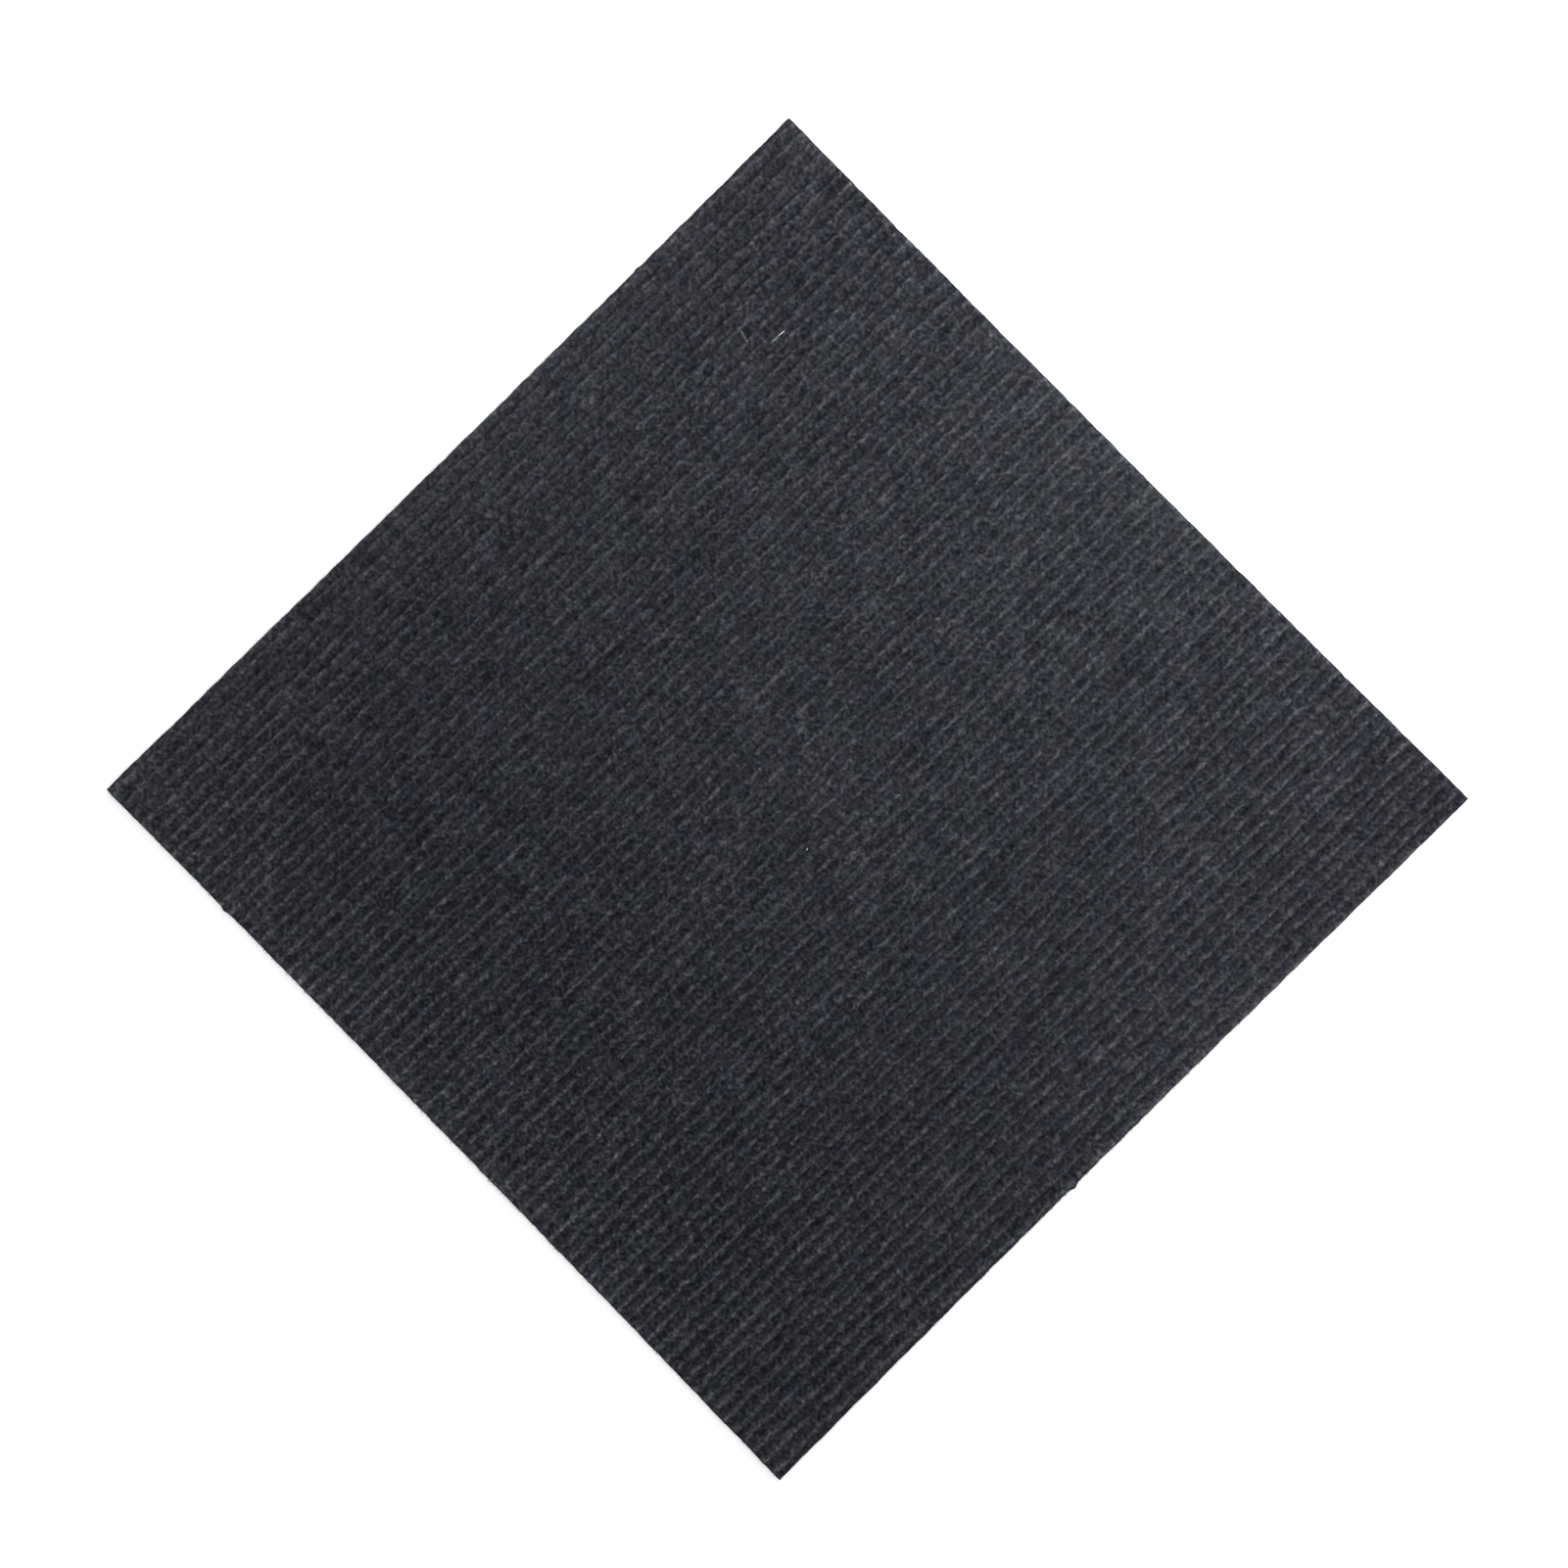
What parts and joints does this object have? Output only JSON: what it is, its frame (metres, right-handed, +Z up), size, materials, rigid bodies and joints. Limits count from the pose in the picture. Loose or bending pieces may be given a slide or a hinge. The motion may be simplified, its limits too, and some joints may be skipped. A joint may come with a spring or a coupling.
{
  "type": "carpet tile",
  "caption": "Square carpet tile of ribbed charcoal felt with straight parallel ribs and cut sides, lying flat with its face up.",
  "frame": {"origin": "middle of the flat underside, on the floor it lies on", "axes": "+Z up through the tile's thickness, towards the ribbed face; +X along the cut sides that the ribs nearly follow; +Y across the ribs"},
  "size_m": [0.5, 0.5, 0.0065],
  "materials": {
    "felt": "dull needle-punched felt in heathered charcoal, with raised ribs"
  },
  "bodies": {
    "root": {"carpet_tile": "felt"}
  },
  "joints": []
}
